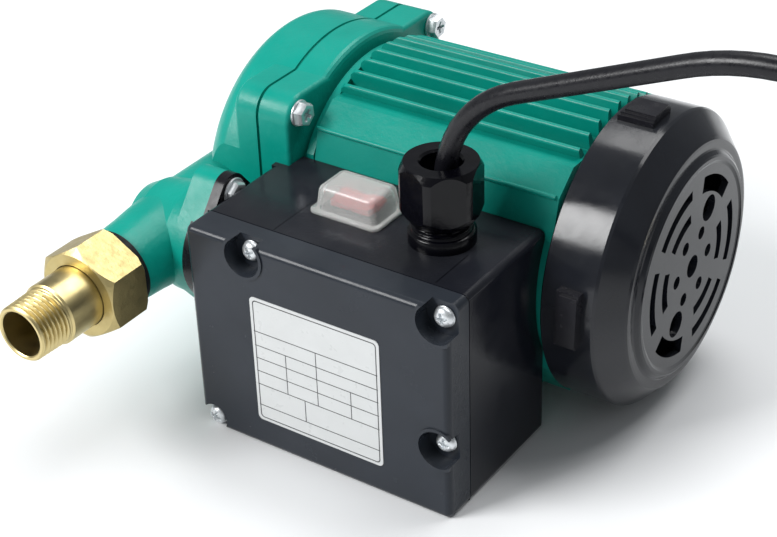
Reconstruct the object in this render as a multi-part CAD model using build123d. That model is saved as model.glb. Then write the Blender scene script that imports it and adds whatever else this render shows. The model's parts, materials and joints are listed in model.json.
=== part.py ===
from build123d import *
import math
import os

os.makedirs("parts", exist_ok=True)

# Close-coupled centrifugal water pump with a flow switch, a finned motor and a terminal box.
# Frame: millimetres, +Z up, the motor shaft along X. The origin is on the standing surface,
# straight under the shaft, in the plane where the pump casing meets the motor bracket.

# ---------------------------------------------------------------- driving dimensions
SHAFT_Z = 55.0              # shaft height over the standing surface
FLANGE_HALF = 48.2          # half the side of the square bolted flange
FLANGE_R = 54.2             # round part of the same flange
CASING_T, FLANGE_T = 10.5, 13.5     # thickness of the flange of the casing and of the bracket
BOLT_OFFSET = 42.0          # flange bolts, from the shaft to each side
DOME_START, DOME_LENGTH, DOME_R = -16.0, 24.0, 54.2    # domed end of the casing
CAVITY_R = 45.5             # impeller chamber
FRAME_R = 46.5              # motor frame under its fins
BORE_R = 43.9               # motor frame bore
FIN_R = 52.8                # fin tips
FRAME_END = 115.5           # end of the motor frame
SIDE_Y = -41.5              # flat side of the motor frame that carries the terminal box
COVER_R = 52.7              # fan cover
COVER_START = 116.0
COVER_SHOULDER = 135.3
COVER_FACE = 143.5
GRILLE_R = 36.0             # raised disc of the fan cover
GRILLE_FACE = 145.4
SHAFT_R = 6.0
ROTOR_SHAFT_R = 9.0
ROTOR_R = 24.0
STACK_START, STACK_END = 34.0, 86.0
BEARING_R, BEARING_W = 16.0, 10.0
FRONT_BEARING, REAR_BEARING = 13.5, 96.0
IMPELLER_R = 40.0

PORT_X, PORT_Z = -21.2, 55.0    # discharge port axis, along -Y
NECK_Y = -103.0             # end of the painted neck
NUT_Y0, NUT_Y1 = -123.2, -106.2     # union nut
UNION_END = -150.7          # open end of the brass tailpiece
PORT_BORE = 9.5
SWITCH_Y, SWITCH_Z = -70.5, PORT_Z  # centre of the flow switch
PAD_R, LUG_R, LUG_OFFSET = 20.4, 6.6, 22.0  # its seat: disc, bolt lugs and their offset
LUG_END = 1.6               # face of the casing's two bolt lugs, round the switch body
FLAP_Y, FLAP_Z = -66.0, 64.5    # pivot of the flap inside the flow chamber
FLAP_PIN_R = 1.0
FLAP_PIN_ENDS = (-36.4, -3.5)
SUCTION_X = -27.0           # suction stub axis, along +Y
SUCTION_END = 66.0
THREAD_G34_R = 13.2         # G 3/4 pipe thread, major radius
THREAD_R12_R = 10.48        # R 1/2 pipe thread, major radius

BOX_X0, BOX_X1 = 8.6, 111.5     # terminal box
BOX_FRONT, BOX_PART, BOX_BACK = -100.3, -88.0, -42.0
BOX_TOP = 80.2
WALL = 2.5
BOX_SCREWS = [(32.4, 75), (106.8, 75), (106.8, 27.2)]
CORNER_SCREW = (14.0, 3.9)  # fourth cover screw, in an open notch at the low corner
CORNER_SEAT = BOX_FRONT + 3
BACK_SCREWS = [(34, 15.5), (98, 15.5)]  # screws that hold the box to the motor frame
POCKET_R = 7.0
POCKET_DEPTH = 6.0
GLAND_X, GLAND_Y = 86.0, -63.6
GLAND_TOP = 109.0
SADDLE_R = 47.2             # hollow of the box back that sits round the motor
SWITCH_X0, SWITCH_X1 = 42.0, 62.4   # rocker switch bezel
SWITCH_Y0, SWITCH_Y1 = -69.0, -56.0

CORD_D = 7.0
COIL_X, COIL_Y = 322.0, GLAND_Y + 47
COIL_R = 39.5
CORD_BENDS = [(GLAND_X, 87), (GLAND_X, 111), (100.5, 134), (181, 166.8), (212, 167), (236, 148), (243, 112),
              (247, 76), (254, 47), (271, 23), (296, 8.5), (COIL_X, 3.5)]     # X and Z of each bend
CORD_ROUTE = [(x, GLAND_Y, z) for x, z in CORD_BENDS]
TAIL_ROUTE = [(322, 23.4, 10.6), (302, 24.9, 13), (284, 30.9, 18), (267, 41.9, 18)]


# ---------------------------------------------------------------- shape helpers
def block(x0, x1, y0, y1, z0, z1):
    return Pos((x0 + x1) / 2, (y0 + y1) / 2, (z0 + z1) / 2) * Box(x1 - x0, y1 - y0, z1 - z0)


def rod_x(r, x0, x1, y=0.0, z=SHAFT_Z):
    return Pos((x0 + x1) / 2, y, z) * Rot(0, 90, 0) * Cylinder(r, x1 - x0)


def rod_y(r, y0, y1, x, z):
    return Pos(x, (y0 + y1) / 2, z) * Rot(90, 0, 0) * Cylinder(r, y1 - y0)


def rod_z(r, z0, z1, x, y):
    return Pos(x, y, (z0 + z1) / 2) * Cylinder(r, z1 - z0)


def ring_x(r_in, r_out, x0, x1):
    return rod_x(r_out, x0, x1) - rod_x(r_in, x0 - 1, x1 + 1)


def turned_x(points, y=0.0, z=SHAFT_Z):
    """A solid of revolution about a line along X; points are (x, radius)."""
    outline = Polyline(*[(x, r) for x, r in points], close=True)
    return Pos(0, y, z) * revolve(make_face(outline), Axis.X, 360)


def turned_y(points, x, z):
    """A solid of revolution about a line along Y; points are (radius, y)."""
    outline = Polyline(*[(r, y) for r, y in points], close=True)
    return Pos(x, 0, z) * revolve(make_face(outline), Axis.Y, 360)


def turned_z(points, x, y):
    """A solid of revolution about a line along Z; points are (radius, z)."""
    outline = Plane.XZ * Polyline(*[(r, z) for r, z in points], close=True)
    return Pos(x, y, 0) * revolve(make_face(outline), Axis.Z, 360)


def hex_x(across_flats, x0, x1, y, z, turn=0.0):
    prism = extrude(RegularPolygon(across_flats / 2, 6, major_radius=False), x1 - x0)
    return Pos(x0, y, z) * Rot(0, 90, 0) * Rot(0, 0, turn) * prism


def around_shaft(shape, angle):
    return Pos(0, 0, SHAFT_Z) * Rot(angle, 0, 0) * Pos(0, 0, -SHAFT_Z) * shape


def corner_signs():
    return [(-1, 1), (1, 1), (1, -1), (-1, -1)]


def save(name, *solids):
    shape = solids[0] if len(solids) == 1 else Compound(list(solids))
    export_step(shape, f"parts/{name}.step")


# ---------------------------------------------------------------- pump end
def flange_square(x0, x1, inset=0.0):
    """Square plate with rounded corners that carries the flange bolts."""
    side = 2 * (FLANGE_HALF - inset)
    square = extrude(RectangleRounded(side, side, 9), x1 - x0)
    return Pos(x0, 0, SHAFT_Z) * Rot(0, 90, 0) * square


def flange(x_outer, x_seam):
    """A bolted flange rounded at its outer face, with a shallow groove all round where it meets its mate."""
    lip = 0.6 if x_seam > x_outer else -0.6
    low, high = min(x_outer, x_seam - lip), max(x_outer, x_seam - lip)
    square = flange_square(low, high)
    faces = square.faces().sort_by(Axis.X)
    square = fillet((faces[0] if x_outer < x_seam else faces[-1]).edges(), 1.8)
    inward = 1 if x_seam > x_outer else -1
    rounded = [(x_outer, 0), (x_outer, FLANGE_R - 2.2), (x_outer + 0.3 * inward, FLANGE_R - 1.1),
               (x_outer + 1.1 * inward, FLANGE_R - 0.3), (x_outer + 2.2 * inward, FLANGE_R),
               (x_seam - lip, FLANGE_R), (x_seam - lip, FLANGE_R - 0.8), (x_seam, FLANGE_R - 0.8), (x_seam, 0)]
    room = block(-20, 20, -FLANGE_HALF + 0.8, 60, SHAFT_Z - FLANGE_HALF + 0.8, 120)
    inner_step = flange_square(min(x_seam, x_seam - lip), max(x_seam, x_seam - lip), 0.8)
    return square + inner_step + (turned_x(rounded) & room)


def flange_holes(radius, x0, x1):
    return [rod_x(radius, x0, x1, BOLT_OFFSET * sy, SHAFT_Z + BOLT_OFFSET * sz) for sy, sz in corner_signs()]


def dome():
    """Domed end of the casing, a curve of the form (x / a) ** n + (r / b) ** n = 1 turned about the shaft."""
    power = 1.7
    curve = []
    for step in range(13):
        along = math.sin(math.radians(7.5 * step))
        curve.append((DOME_START - DOME_LENGTH * along, DOME_R * max(0.0, 1 - along ** power) ** (1 / power)))
    edge = Spline(*curve)
    start = curve[0]
    close = Polyline(curve[-1], (-4, 0), (-4, start[1]), start)
    face = make_face([edge, close])
    return Pos(0, 0, SHAFT_Z) * revolve(face, Axis.X, 360)


def volute_casing():
    body = dome() & flange_room()
    body += flange(-CASING_T, 0)
    neck = [(0, NECK_Y), (13.6, NECK_Y), (14.2, -98), (14.6, -92), (15.4, -85), (16.2, -76), (16.4, -25), (0, -25)]
    body += turned_y(neck, PORT_X, PORT_Z)
    chamber = [(-38.5, 0), (-37.5, 8), (-34, 13.5), (-28, 16.8), (-20, 18.2), (-12, 20.2), (-7, 20.4), (-7, 0)]
    body += turned_x(chamber, SWITCH_Y, SWITCH_Z)
    body += rod_y(THREAD_G34_R, -115, NECK_Y + 1, PORT_X, PORT_Z)
    body += flow_pad(-8, LUG_END)
    body -= rod_x(PAD_R + 0.25, -2.5, LUG_END + 1, SWITCH_Y, SWITCH_Z)
    body += rod_y(16, 20, 54, SUCTION_X, PORT_Z) + rod_y(THREAD_G34_R - 1, 53, 57, SUCTION_X, PORT_Z)
    body += rod_y(THREAD_G34_R, SUCTION_END - 10, SUCTION_END, SUCTION_X, PORT_Z)
    impeller_room = [(-28, 0), (-28, 34), (-26.5, 38.5), (-23, 43), (-18, CAVITY_R), (1, CAVITY_R), (1, 0)]
    body -= turned_x(impeller_room)
    suction_room = [(-36.6, 0), (-36.2, 12), (-34, 22), (-31, 29), (-30, 30), (-30, 0)]
    body -= turned_x(suction_room)
    body -= rod_x(15, -31, -27)
    body -= rod_y(PORT_BORE, -116, -40, PORT_X, PORT_Z)
    stream = [(-34, 0), (-33, 9), (-29, 12.5), (-24, 14.6), (-12, 14.6), (-12, 13), (0, 13), (0, 0)]
    body -= turned_x(stream, SWITCH_Y, SWITCH_Z)
    body -= rod_y(PORT_BORE, SUCTION_END - 14, SUCTION_END + 1, SUCTION_X, PORT_Z)
    body -= rod_y(4, 15, SUCTION_END - 13, -32.6, PORT_Z)
    body -= ring_x(47.2, 48.9, -2, 1)
    body -= rod_x(FLAP_PIN_R + 0.02, *FLAP_PIN_ENDS, FLAP_Y, FLAP_Z)
    for hole in flange_holes(3.1, -CASING_T - 1, 1):
        body -= hole
    for hole in switch_lugs(2.6, -8.5, LUG_END + 1):
        body -= hole
    return body


def flange_room():
    """Everything in front of the flange seam, above the standing surface."""
    return block(-60, -1, -FLANGE_HALF, 60, 3, 120)


def flow_pad(x0, x1, grow=0.0):
    """Seat of the flow switch: a disc drawn out smoothly to a bolt lug above and below."""
    disc_r, lug_r = PAD_R + grow, LUG_R + grow
    lean = math.acos((disc_r - lug_r) / LUG_OFFSET)
    wide, narrow = disc_r * math.sin(lean), lug_r * math.sin(lean)
    low, high = disc_r * math.cos(lean), LUG_OFFSET + lug_r * math.cos(lean)
    pad = rod_x(disc_r, x0, x1, SWITCH_Y, SWITCH_Z)
    web = make_face(Polyline((-wide, low), (-narrow, high), (narrow, high), (wide, low), (wide, -low),
                             (narrow, -high), (-narrow, -high), (-wide, -low), close=True))
    pad += Pos(x0, SWITCH_Y, SWITCH_Z) * extrude(Plane.YZ * web, x1 - x0, dir=(1, 0, 0))
    return pad + switch_lugs(lug_r, x0, x1)


def switch_lugs(radius, x0, x1):
    return [rod_x(radius, x0, x1, SWITCH_Y, SWITCH_Z + LUG_OFFSET * side) for side in (-1, 1)]


def motor_bracket():
    body = flange(FLANGE_T, 0) + rod_x(BORE_R - 0.05, FLANGE_T, 17) + rod_x(21.5, FLANGE_T, 26)
    body += block(0.6, FLANGE_T - 2, -16, 16, 0, 9) + block(-9, 1, -16, 16, 0, 2.9)
    body -= rod_x(12.05, -1, 5)
    body -= rod_x(7.5, 4, FLANGE_T + 1)
    body -= rod_x(BEARING_R + 0.02, FRONT_BEARING, 27)
    body -= ring_x(30, BORE_R - 5, 9, 18)
    for hole in flange_holes(3.3, -1, FLANGE_T + 1):
        body -= hole
    return body


def flange_bolts():
    bolts = []
    for sy, sz in corner_signs():
        y, z = BOLT_OFFSET * sy, SHAFT_Z + BOLT_OFFSET * sz
        bolt = hex_x(8, FLANGE_T, FLANGE_T + 4.2, y, z, 15) + rod_x(3, -8, FLANGE_T + 1, y, z)
        bolt += rod_x(4.9, FLANGE_T, FLANGE_T + 0.9, y, z)
        bolts.append(bolt)
    return bolts


def impeller():
    wheel = rod_x(IMPELLER_R, -12, -9.5) + rod_x(11, -24, -9.5) + ring_x(15.5, IMPELLER_R, -22.5, -20.5)
    for number in range(6):
        vane = Pos(-16.5, 25.5, 0) * Box(9, 29, 2.2)
        vane = Pos(0, 0, SHAFT_Z) * Rot(60 * number, 0, 0) * Pos(0, 0, 6) * Rot(25, 0, 0) * vane
        wheel += vane & rod_x(IMPELLER_R, -22, -10)
    return wheel - rod_x(SHAFT_R, -25, -8)


def shaft():
    body = rod_x(4, -31, -24) + rod_x(SHAFT_R, -24, 30) + rod_x(ROTOR_SHAFT_R, 30, 90)
    return body + rod_x(SHAFT_R, 90, 129)


# ---------------------------------------------------------------- motor
def motor_frame():
    body = rod_x(FRAME_R, FLANGE_T, FRAME_END)
    body += rod_x(49.3, 15.5, 18.5) - block(15, 19, -60, SIDE_Y, 0, 110)
    flank = Polyline((SIDE_Y, 9), (SIDE_Y, 80), (-38.6, 91), (-29.5, 98.2), (0, 98.2), (0, 9), close=True)
    body += Pos(19, 0, 0) * extrude(Plane.YZ * make_face(flank), FRAME_END - 20)
    corner = make_face(Polyline((SIDE_Y - 1, 8), (SIDE_Y - 1, 27), (-27, 8), close=True))
    body -= Pos(104, 0, 0) * extrude(Plane.YZ * corner, 20, dir=(1, 0, 0))
    body += rod_x(0.8, 19, FRAME_END - 2, -38.9, 91.2)
    nose = [(18.2, 40), (18.2, 49), (18.8, 51), (20.4, 52.4), (23, FIN_R), (FRAME_END - 2, FIN_R),
            (FRAME_END - 2, 40)]
    body += fins() & turned_x(nose)
    body += block(40, 92, -30, 66, 0, 5) + block(44, 88, -20, 24, 4, 12)
    for x in (44.5, 84.5):
        body += block(x, x + 4, 20, 60, 4, 22)
    body -= rod_x(BORE_R, FLANGE_T - 1, FRAME_END + 1)
    for x in (54, 78):
        body -= rod_z(3.5, -1, 6, x, 58)
    for x, z in BACK_SCREWS:
        body -= rod_y(1.9, SIDE_Y - 1, SIDE_Y + 9, x, z)
    return body


def fins():
    """Cooling fins with tapered flanks and rounded tips."""
    root, tip = 1.7, 0.95
    flank = Polyline((FRAME_R - 2, -root), (FIN_R - tip, -tip))
    crown = ThreePointArc((FIN_R - tip, -tip), (FIN_R, 0), (FIN_R - tip, tip))
    close = Polyline((FIN_R - tip, tip), (FRAME_R - 2, root), (FRAME_R - 2, -root))
    fin = Pos(18, 0, 0) * extrude(Plane.YZ * make_face([flank, crown, close]), FRAME_END - 20)
    return Compound([Pos(0, 0, SHAFT_Z) * Rot(116.9 - 7.6 * number, 0, 0) * fin for number in range(24)])


def rear_shield():
    disc = rod_x(BORE_R - 0.05, 104, 110) + rod_x(21, 94, 105)
    disc -= rod_x(BEARING_R + 0.02, 93, REAR_BEARING + BEARING_W)
    disc -= rod_x(7.5, 93, 111)
    for number in range(6):
        disc -= around_shaft(rod_x(5, 103, 111, 32, SHAFT_Z), 60 * number)
    return disc


def stator_core():
    core = ring_x(24.4, BORE_R - 0.02, STACK_START, STACK_END)
    for number in range(12):
        slot = block(STACK_START - 1, STACK_END + 1, 23, 35, -2.2, 2.2)
        core -= Pos(0, 0, SHAFT_Z) * Rot(30 * number, 0, 0) * slot
    return core


def rotor_core():
    core = rod_x(ROTOR_R, STACK_START, STACK_END) + ring_x(14, 22, STACK_START - 3, STACK_END + 3)
    return core - rod_x(ROTOR_SHAFT_R, 30, 90)


def bearing_races(r_in, r_out):
    return [ring_x(r_in, r_out, x, x + BEARING_W) for x in (FRONT_BEARING, REAR_BEARING)]


def bearing_balls():
    balls = []
    for x in (FRONT_BEARING, REAR_BEARING):
        for number in range(8):
            angle = math.radians(45 * number)
            y, z = 11 * math.cos(angle), SHAFT_Z + 11 * math.sin(angle)
            balls.append(Pos(x + BEARING_W / 2, y, z) * Sphere(1.93))
    return balls


def fan():
    wheel = rod_x(12, 115, 129) + rod_x(40, 115, 117)
    for number in range(8):
        blade = Pos(124, 26, 0) * Box(15, 28, 1.8)
        wheel += Pos(0, 0, SHAFT_Z) * Rot(45 * number, 0, 0) * blade
    return wheel - rod_x(SHAFT_R, 114, 130)


def arc_slot(radius, width, start, end, x0, x1):
    """A curved slot round the shaft line, with square ends."""
    band = ring_x(radius - width / 2, radius + width / 2, x0, x1)
    reach = 60.0
    corners = [(0, 0)]
    for step in range(4):
        angle = math.radians(start + (end - start) * step / 3)
        corners.append((reach * math.cos(angle), reach * math.sin(angle)))
    wedge = extrude(Plane.YZ * make_face(Polyline(*corners, close=True)), x1 - x0)
    return band & (Pos(x0, 0, SHAFT_Z) * wedge)


def fan_cover():
    back = COVER_FACE - 2.5
    outer = [(COVER_START, 0), (COVER_START, COVER_R - 0.5), (COVER_START + 0.5, COVER_R),
             (COVER_SHOULDER - 0.6, COVER_R), (COVER_SHOULDER + 0.4, COVER_R - 0.5), (COVER_FACE - 0.7, 44.6),
             (COVER_FACE - 0.1, 43.8), (COVER_FACE, 42.8), (COVER_FACE, 40.8), (COVER_FACE + 0.3, 40.2),
             (GRILLE_FACE - 0.4, 39.0), (GRILLE_FACE, 38.3), (GRILLE_FACE, 37.2), (GRILLE_FACE - 0.3, 36.6),
             (GRILLE_FACE - 0.5, GRILLE_R), (GRILLE_FACE - 0.5, 0)]
    inner = [(COVER_START - 1, 0), (COVER_START - 1, COVER_R - 2.3), (COVER_SHOULDER - 1, COVER_R - 2.3),
             (back, 42), (back, 38), (GRILLE_FACE - 3, 35), (GRILLE_FACE - 3, 0)]
    body = turned_x(outer) - turned_x(inner)
    x0, x1 = back - 1, GRILLE_FACE + 1
    body -= rod_x(4, x0, x1)
    for number in range(6):
        body -= around_shaft(rod_x(2.3, x0, x1, 11.7, SHAFT_Z), 60 * number + 2)
    for axis in (60, 240):
        body -= around_shaft(rod_x(4.7, x0, x1, 20.5, SHAFT_Z), axis)
        body -= arc_slot(29.3, 6.0, axis - 21, axis + 21, x0, x1)
        for start, end in ((40, 80), (-80, -40)):
            body -= arc_slot(20.5, 3.7, axis + start, axis + end, x0, x1)
            body -= arc_slot(29.3, 3.7, axis + start - 3, axis + end + 3, x0, x1)
    return body


def cover_clips():
    """Moulded catches on the outside of the fan cover: a stepped one each side and a longer one at the box."""
    stepped = block(118.5, 131.5, 50, 54.3, -6.2, 6.2) + block(119.2, 131.5, 54, 55.2, -5.4, 5.4)
    stepped += block(120.4, 131.5, 55, 56.1, -4.6, 4.6) - block(121, 133, 54.6, 55.0, -7, 7)
    long = block(123, 131, 50, 55.2, -10, 10) + block(124.5, 131, 54.8, 56.2, -9, 9)
    clips = []
    for angle, catch in ((3, stepped), (92, stepped), (177, long)):
        clips.append(around_shaft(Pos(0, 0, SHAFT_Z) * catch, angle) - rod_x(COVER_R, 117, 136))
    return clips


# ---------------------------------------------------------------- discharge union and flow switch
def union_tailpiece():
    outline = [(0, -117), (12.2, -117), (12.2, -119.4), (11.2, -119.4), (11.2, -136.8), (THREAD_R12_R, -137.4),
               (THREAD_R12_R, UNION_END), (0, UNION_END)]
    return turned_y(outline, PORT_X, PORT_Z) - rod_y(8.2, UNION_END - 1, -116, PORT_X, PORT_Z)


def union_nut():
    length = NUT_Y1 - NUT_Y0
    prism = extrude(RegularPolygon(15.5, 6, major_radius=False), length)
    prism = Pos(PORT_X, NUT_Y1, PORT_Z) * Rot(90, 0, 0) * Rot(0, 0, 30) * prism
    dressed = turned_y([(0, NUT_Y0), (15.2, NUT_Y0), (18.2, NUT_Y0 + 2.6), (18.2, NUT_Y1 - 1.6),
                        (16.6, NUT_Y1), (0, NUT_Y1)], PORT_X, PORT_Z)
    body = prism & dressed
    body -= rod_y(THREAD_G34_R + 0.06, -119.6, NUT_Y1 + 1, PORT_X, PORT_Z)
    return body - rod_y(11.5, NUT_Y0 - 1, -119, PORT_X, PORT_Z)


def flow_switch_body():
    body = rod_x(PAD_R + 0.2, -2.5, LUG_END + 1, SWITCH_Y, SWITCH_Z) + flow_pad(LUG_END, 5.5, 0.2)
    for hole in switch_lugs(2.8, -3, 8):
        body -= hole
    body += rod_x(12.9, -6, 2, SWITCH_Y, SWITCH_Z) + rod_x(10, 5, 16, SWITCH_Y, SWITCH_Z)
    body -= rod_x(10.5, -7, -2, SWITCH_Y, SWITCH_Z)
    body -= rod_x(7.5, 8, 17, SWITCH_Y, SWITCH_Z)
    body -= rod_x(FLAP_PIN_R + 0.02, *FLAP_PIN_ENDS, FLAP_Y, FLAP_Z)
    return body


def flow_switch_bolts():
    """Hexagon bolts with washers through the lugs of the flow switch."""
    face = 5.5
    bolts = []
    for side in (-1, 1):
        z = SWITCH_Z + LUG_OFFSET * side
        bolt = rod_x(5.4, face, face + 0.7, SWITCH_Y, z) + rod_x(2.5, -7, face + 0.7, SWITCH_Y, z)
        bolts.append(bolt + hex_x(8, face + 0.7, face + 2.9, SWITCH_Y, z))
    return bolts


def flow_flap():
    """Paddle that hangs across the stream and swings on its pin."""
    paddle = Pos(PORT_X, FLAP_Y, FLAP_Z) * Rot(0, 90, 0) * Cylinder(2.2, 12)
    paddle += block(PORT_X - 4.5, PORT_X + 4.5, FLAP_Y - 0.8, FLAP_Y + 0.8, 53, FLAP_Z)
    paddle += Pos(PORT_X, FLAP_Y, 53) * Rot(90, 0, 0) * Cylinder(6, 1.6)
    return paddle - rod_x(1.05, PORT_X - 8, PORT_X + 8, FLAP_Y, FLAP_Z)


def flap_pin():
    """Pin of the flap, held by the chamber wall at one end and by the flow switch at the other."""
    return rod_x(FLAP_PIN_R, *FLAP_PIN_ENDS, FLAP_Y, FLAP_Z)


# ---------------------------------------------------------------- terminal box
def screw_columns(radius, y0, y1, places=(*BOX_SCREWS, CORNER_SCREW)):
    return [rod_y(radius, y0, y1, x, z) for x, z in places]


def box_outer(y0, y1):
    shape = extrude(RectangleRounded(BOX_X1 - BOX_X0, BOX_TOP, 2.5), y1 - y0)
    return Pos((BOX_X0 + BOX_X1) / 2, y1, BOX_TOP / 2) * Rot(90, 0, 0) * shape


def box_base():
    outer = box_outer(BOX_PART, BOX_BACK)
    body = outer - block(BOX_X0 + WALL, BOX_X1 - WALL, BOX_PART - 1, BOX_BACK - WALL, WALL, BOX_TOP - WALL)
    body += rod_x(SADDLE_R + WALL, BOX_X0, BOX_X1) & outer
    for column in screw_columns(5.6, BOX_PART, BOX_PART + 6):
        body += column & outer
    notch = block(BOX_X0 - 1, 14.3, -50.2, BOX_BACK + 1, -1, BOX_TOP + 1)
    notch += block(BOX_X0 - 1, 22, -51.5, BOX_BACK + 1, -1, 24)
    body += block(BOX_X0, 24.5, -54, BOX_BACK, 0, 26.5) & outer
    body += block(BOX_X0, 16.8, -52.7, BOX_BACK, 0, BOX_TOP)
    body -= notch + rod_x(SADDLE_R, BOX_X0 - 1, BOX_X1 + 1)
    for column in screw_columns(1.35, BOX_PART - 1, BOX_PART + 7):
        body -= column
    body -= block(43.2, 61.3, -68.3, -56.7, BOX_TOP - WALL - 1, BOX_TOP + 1)
    body -= rod_z(10.2, BOX_TOP - WALL - 1, BOX_TOP + 1, GLAND_X, GLAND_Y)
    body -= rod_x(10.6, BOX_X0 - 1, BOX_X0 + WALL + 6, SWITCH_Y, SWITCH_Z)
    for x, z in BACK_SCREWS:
        body -= rod_y(2.2, BOX_BACK - WALL - 1, BOX_BACK + 1, x, z)
    return body


def rounded_box_cover():
    solid = box_outer(BOX_FRONT, BOX_PART - 0.4)
    front = solid.faces().sort_by(Axis.Y)[0]
    return fillet(front.edges(), 2.4)


def box_cover():
    outer = rounded_box_cover()
    body = outer - block(BOX_X0 + WALL, BOX_X1 - WALL, BOX_FRONT + WALL, BOX_PART, WALL, BOX_TOP - WALL)
    for column in screw_columns(POCKET_R + 1.8, BOX_FRONT, BOX_PART - 0.4):
        body += column & outer
    for column in screw_columns(POCKET_R + 1.1, BOX_FRONT - 0.5, BOX_FRONT + 1, BOX_SCREWS):
        body += column & box_outer(BOX_FRONT - 1, BOX_PART)
    for column in screw_columns(POCKET_R, BOX_FRONT - 1, BOX_FRONT + POCKET_DEPTH, BOX_SCREWS):
        body -= column
    body -= rod_y(5.2, BOX_FRONT - 1, BOX_PART, *CORNER_SCREW)
    body -= block(BOX_X0 - 1, CORNER_SCREW[0], BOX_FRONT - 1, BOX_PART, -1, 7.4)
    post = rod_y(3.5, CORNER_SEAT, BOX_PART - 0.4, *CORNER_SCREW)
    post += block(CORNER_SCREW[0], 20, CORNER_SEAT + 1, BOX_PART - 0.4, 2.4, 5.4)
    body += post & outer
    for column in screw_columns(1.9, BOX_FRONT, BOX_PART):
        body -= column
    return body


def box_gasket():
    frame = block(BOX_X0 + 0.4, BOX_X1 - 0.4, BOX_PART - 0.4, BOX_PART, 0.4, BOX_TOP - 0.4)
    inset = 2.4
    frame -= block(BOX_X0 + inset, BOX_X1 - inset, BOX_PART - 1, BOX_PART + 1, inset, BOX_TOP - inset)
    for column in screw_columns(4.0, BOX_PART - 1, BOX_PART + 1):
        frame -= column
    return frame


def box_screws():
    screws = []
    seats = [BOX_FRONT + POCKET_DEPTH] * len(BOX_SCREWS) + [CORNER_SEAT]
    for (x, z), seat in zip((*BOX_SCREWS, CORNER_SCREW), seats):
        head = Pos(x, seat, z) * Rot(90, 0, 0) * Cone(3.6, 2.4, 2.6, align=(Align.CENTER, Align.CENTER, Align.MIN))
        screws.append(head + rod_y(1.3, seat, BOX_PART + 5.5, x, z))
    return screws


def back_screws():
    screws = []
    for x, z in BACK_SCREWS:
        inner = BOX_BACK - WALL
        screws.append(rod_y(3.6, inner - 2.6, inner, x, z) + rod_y(1.8, inner, SIDE_Y + 7.5, x, z))
    return screws


def rocker_housing():
    body = block(SWITCH_X0, SWITCH_X1, SWITCH_Y0, SWITCH_Y1, BOX_TOP, BOX_TOP + 2)
    body += block(43.4, 61.1, -68.1, -56.9, 64, BOX_TOP)
    body -= block(44.2, 60.3, -67.3, -57.7, 73, BOX_TOP + 3)
    middle = (SWITCH_X0 + SWITCH_X1) / 2
    return body + rod_y(1.2, -68, -57, middle, 81.0) + block(middle - 1.2, middle + 1.2, -68, -57, 72, 81.0)


def rocker():
    middle = (SWITCH_X0 + SWITCH_X1) / 2
    outline = Polyline((middle - 7.6, 79.6), (middle - 7.6, 84.6), (middle, 83.2), (middle + 7.6, 84.6),
                       (middle + 7.6, 79.6), close=True)
    body = Pos(0, -58.1, 0) * extrude(Plane.XZ * make_face(outline), 8.8)
    body -= rod_y(1.28, -68, -57, middle, 81.0)
    gap = Polyline((middle - 1.1, 81.4), (middle - 2.6, 78), (middle + 2.6, 78), (middle + 1.1, 81.4), close=True)
    return body - Pos(0, -56, 0) * extrude(Plane.XZ * make_face(gap), 12)


def boot_loft(x_grow, y_grow, z0, z1):
    base = Pos(52.2, -62.4, z0) * RectangleRounded(26 + x_grow, 18 + y_grow, 3.5)
    top = Pos(52.6, -62.8, z1) * RectangleRounded(20.5 + x_grow, 13 + y_grow, 3.0)
    return loft([base, top])


def switch_boot():
    """Clear silicone hood over the rocker, with a thin lip on the box top."""
    lip = Pos(52.2, -62.4, BOX_TOP) * extrude(RectangleRounded(27.6, 19.6, 4), 1.2)
    hood = lip + boot_loft(0, 0, BOX_TOP, 90)
    return hood - boot_loft(-1.8, -1.8, BOX_TOP - 1, 89.0)


def gland_body():
    outline = [(3.9, 70), (10, 70), (10, BOX_TOP), (11.2, BOX_TOP), (11.2, 85.4), (10.6, 86.2), (10.2, 86.2),
               (10.2, 94), (6.4, 97), (3.9, 97)]
    return turned_z(outline, GLAND_X, GLAND_Y)


def gland_locknut():
    nut = Pos(GLAND_X, GLAND_Y, BOX_TOP - WALL - 5) * extrude(RegularPolygon(11.2, 6, major_radius=False), 4.9)
    return nut - rod_z(10.05, 70, BOX_TOP, GLAND_X, GLAND_Y)


def gland_nut():
    """Clamping nut with six flats and a conical lower edge."""
    outline = [(10.35, 88.6), (10.9, 88.6), (13.6, 92.6), (13.6, 106.4), (12.2, GLAND_TOP), (7.4, GLAND_TOP),
               (6.7, GLAND_TOP - 0.8), (6.7, 100), (10.35, 96)]
    nut = turned_z(outline, GLAND_X, GLAND_Y)
    flats = extrude(RegularPolygon(12.4, 6, major_radius=False), 30)
    return nut & (Pos(GLAND_X, GLAND_Y, 84) * Rot(0, 0, -17) * flats)


def gland_seal():
    outline = [(CORD_D / 2 + 0.02, 97.2), (6.5, 97.2), (6.5, 100.6), (5.4, 101.6), (CORD_D / 2 + 0.02, 101.6)]
    return turned_z(outline, GLAND_X, GLAND_Y)


def terminal_block():
    body = block(50, 82, -66, -55, 4, 16)
    for number in range(5):
        body -= rod_y(2.0, -67, -60, 54 + 6 * number, 10)
    return body


# ---------------------------------------------------------------- supply cord
def corner_radii(points):
    radii = []
    for before, here, after in zip(points, points[1:], points[2:]):
        run_in, run_out = Vector(*here) - Vector(*before), Vector(*after) - Vector(*here)
        turn = math.radians(run_in.get_angle(run_out))
        radii.append(0.45 * min(run_in.length, run_out.length) / math.tan(turn / 2))
    return radii


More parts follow.
